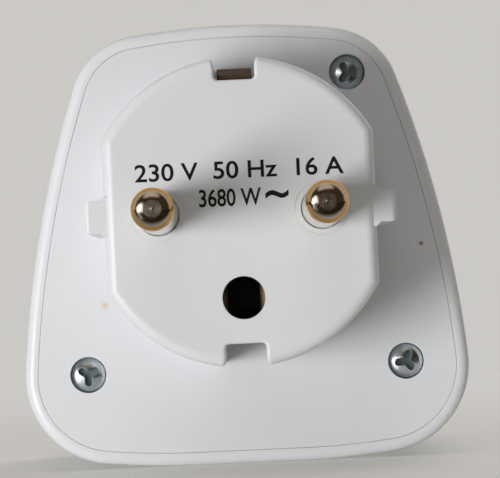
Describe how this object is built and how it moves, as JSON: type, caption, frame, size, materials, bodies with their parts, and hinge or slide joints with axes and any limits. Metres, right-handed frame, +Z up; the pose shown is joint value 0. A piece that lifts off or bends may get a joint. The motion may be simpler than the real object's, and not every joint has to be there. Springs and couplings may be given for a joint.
{
  "type": "plug-in power meter",
  "caption": "Compact plug-in power meter: round-pin wall plug on a flared white casing, with a recessed earthed outlet, small display and push buttons.",
  "frame": {"origin": "centre of the plug's face, midway between the two pins", "axes": "+Y along the plug's pins, away from the casing; -Y is where the outlet and the display face; +Z up, towards the casing's narrow end; +X to the right when looking at the outlet"},
  "size_m": [0.0546, 0.0733, 0.054],
  "materials": {
    "shell_plastic": "semi-gloss white moulding",
    "cover_plastic": "semi-gloss white moulding",
    "well_plastic": "semi-gloss white moulding",
    "shutter_plastic": "satin",
    "holder_plastic": "satin",
    "button_plastic": "satin",
    "black_plastic": "satin",
    "nickel_plate": "bright nickel plate",
    "brass": "stamped strip",
    "shunt_alloy": "copper-manganese strip",
    "spring_steel": "bright",
    "lens_plastic": "clear window with black border",
    "lcd_glass": "reflective display cell",
    "zebra_rubber": "matt",
    "board": "solder mask",
    "capacitor_box": "moulded box",
    "capacitor_can": "sleeved can",
    "cell_steel": "bright",
    "screw_zinc": "grey zinc plate"
  },
  "bodies": {
    "casing": {"front_shell": "shell_plastic", "rear_cover": "cover_plastic", "live_pin": "nickel_plate", "neutral_pin": "nickel_plate", "earth_yoke": "brass", "earth_pin_contact": "brass", "outlet_well": "well_plastic", "shutter_spring": "spring_steel", "contact_holder": "holder_plastic", "live_contact": "brass", "neutral_contact": "brass", "outlet_earth_clip": "nickel_plate", "shunt_resistor": "shunt_alloy", "neutral_link": "brass", "earth_link": "brass", "display_lens": "lens_plastic", "lcd_glass": "lcd_glass", "lcd_holder": "holder_plastic", "zebra_strip": "zebra_rubber", "display_board": "board", "main_board": "board", "pin_header": "black_plastic", "metering_chip": "black_plastic", "film_capacitor": "capacitor_box", "electrolytic_capacitor": "capacitor_can", "coin_cell": "cell_steel", "cell_clip": "cell_steel", "tact_switches": "black_plastic", "case_screws": "screw_zinc", "holder_screws": "screw_zinc"},
    "shutter": {"shutter": "shutter_plastic"},
    "button_mode": {"button_mode": "button_plastic"},
    "button_reset": {"button_reset": "button_plastic"}
  },
  "joints": [
    {"name": "shutter_turn", "type": "hinge", "parent": "casing", "child": "shutter", "pos_m": [0, -0.033, 0], "axis": [0, -1, 0], "range_deg": [0, 40], "stiffness_Nm_per_rad": 0.0006},
    {"name": "button_mode_press", "type": "slide", "parent": "casing", "child": "button_mode", "axis": [0, 1, 0], "range_m": [0, 0.0005], "stiffness_N_per_m": 1500},
    {"name": "button_reset_press", "type": "slide", "parent": "casing", "child": "button_reset", "axis": [0, 1, 0], "range_m": [0, 0.0005], "stiffness_N_per_m": 1500}
  ]
}
